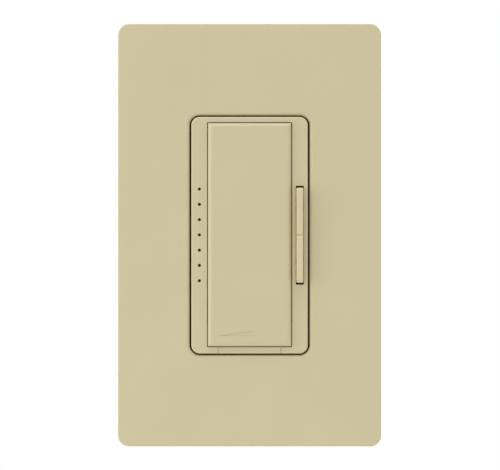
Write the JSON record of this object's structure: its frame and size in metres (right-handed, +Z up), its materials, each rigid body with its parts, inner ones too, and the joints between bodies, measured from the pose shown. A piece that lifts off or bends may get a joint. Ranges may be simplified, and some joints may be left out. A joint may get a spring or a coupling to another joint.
{
  "type": "wall dimmer switch",
  "caption": "Ivory wall dimmer: tall tap paddle beside a narrow raise/lower rocker and a row of level lights, in a screwless plate, with its box-mounted back.",
  "frame": {"origin": "midway between the two box mounting screws, on the wall surface that the plate and yoke rest on", "axes": "+Y into the wall, along the box screws; +Z up; +X to the right as seen from the room, so the front faces -Y"},
  "size_m": [0.0744, 0.0387, 0.119],
  "materials": {
    "adapter_ivory": "matt moulded ivory",
    "bezel_ivory": "satin moulded ivory",
    "black_screw": "black oxide",
    "black_switch": "matt",
    "blue_screw": "blue dyed steel",
    "board_green": "solder mask",
    "capacitor_sleeve": "shrink sleeve",
    "chip_epoxy": "matt epoxy",
    "clear_acrylic": "clear moulded",
    "contact_bronze": "rolled strip",
    "cover_black": "fine texture",
    "enamelled_copper": "clear enamel",
    "ferrite": "painted powder core",
    "film_capacitor_box": "gloss box",
    "fish_paper": "grey fibre sheet",
    "green_screw": "green dyed steel",
    "label_white": "plain",
    "lamp_resin": "clear resin",
    "paddle_ivory": "satin moulded ivory",
    "plate_ivory": "satin moulded ivory",
    "plated_steel": "zinc plated",
    "resistor_green": "cement coat",
    "switch_plunger": "matt",
    "terminal_brass": "bright brass",
    "thermal_pad": "soft grey",
    "tinned_lead": "tinned",
    "varistor_blue": "epoxy dip",
    "yoke_aluminium": "mill finish sheet"
  },
  "bodies": {
    "dimmer": {"adapter_screws": "plated_steel", "airgap_arm_bracket": "contact_bronze", "airgap_arm_pin": "plated_steel", "airgap_fixed_contact": "contact_bronze", "back_cover": "cover_black", "bezel": "bezel_ivory", "board_header_body": "black_switch", "board_header_pins": "tinned_lead", "box_screws": "plated_steel", "chip_resistors": "chip_epoxy", "choke_core": "ferrite", "choke_winding": "enamelled_copper", "control_board": "board_green", "controller_chip": "chip_epoxy", "cover_screws": "plated_steel", "film_capacitor": "film_capacitor_box", "fuse_resistor": "resistor_green", "ground_screw": "green_screw", "insulating_sheet": "fish_paper", "level_lights": "lamp_resin", "light_pipe": "clear_acrylic", "power_board": "board_green", "rating_label": "label_white", "rocker_switch_bodies": "black_switch", "supply_capacitor": "capacitor_sleeve", "tap_switch_body": "black_switch", "terminal_plates": "terminal_brass", "terminal_screw_line": "black_screw", "terminal_screw_load": "terminal_brass", "terminal_screw_traveler": "blue_screw", "triac_body": "chip_epoxy", "triac_pad": "thermal_pad", "triac_rivet": "yoke_aluminium", "triac_tab_and_leads": "tinned_lead", "varistor": "varistor_blue", "wallplate": "plate_ivory", "wallplate_adapter": "adapter_ivory", "yoke": "yoke_aluminium"},
    "paddle": {"tapswitch": "paddle_ivory"},
    "tap_plunger": {"tap_switch_plunger": "switch_plunger"},
    "rocker": {"dimming_rocker": "paddle_ivory"},
    "raise_plunger": {"raise_switch_plunger": "switch_plunger"},
    "lower_plunger": {"lower_switch_plunger": "switch_plunger"},
    "service_tab": {"service_switch": "bezel_ivory"},
    "airgap_arm": {"airgap_contact_arm": "contact_bronze", "airgap_arm_spring": "plated_steel"}
  },
  "joints": [
    {"name": "tapswitch_press", "type": "hinge", "parent": "dimmer", "child": "paddle", "pos_m": [0, -0.0039, 0.0293], "axis": [1, 0, 0], "range_deg": [0, 0.8], "stiffness_Nm_per_rad": 1, "springref_deg": -1.15},
    {"name": "tap_plunger_slide", "type": "slide", "parent": "dimmer", "child": "tap_plunger", "axis": [0, 1, 0], "range_m": [0, 0.00032]},
    {"name": "rocker_press", "type": "hinge", "parent": "dimmer", "child": "rocker", "pos_m": [0.01409, -0.0049, 0], "axis": [1, 0, 0], "range_deg": [-2, 2], "stiffness_Nm_per_rad": 0.3},
    {"name": "raise_plunger_slide", "type": "slide", "parent": "dimmer", "child": "raise_plunger", "axis": [0, 1, 0], "range_m": [-0.00033, 0.00033]},
    {"name": "lower_plunger_slide", "type": "slide", "parent": "dimmer", "child": "lower_plunger", "axis": [0, 1, 0], "range_m": [-0.00033, 0.00033]},
    {"name": "service_switch_slide", "type": "slide", "parent": "dimmer", "child": "service_tab", "axis": [0, -1, 0], "range_m": [0, 0.003]},
    {"name": "airgap_arm_swing", "type": "hinge", "parent": "dimmer", "child": "airgap_arm", "pos_m": [0, 0.0082, -0.014], "axis": [-1, 0, 0], "range_deg": [0, 8.1]}
  ],
  "couplings": [
    {"joint": "tap_plunger_slide", "follows": "tapswitch_press", "m_per_rad": 0.0215},
    {"joint": "raise_plunger_slide", "follows": "rocker_press", "m_per_rad": -0.009},
    {"joint": "lower_plunger_slide", "follows": "rocker_press", "m_per_rad": 0.009},
    {"joint": "airgap_arm_swing", "follows": "service_switch_slide", "rad_per_m": 46.8}
  ]
}
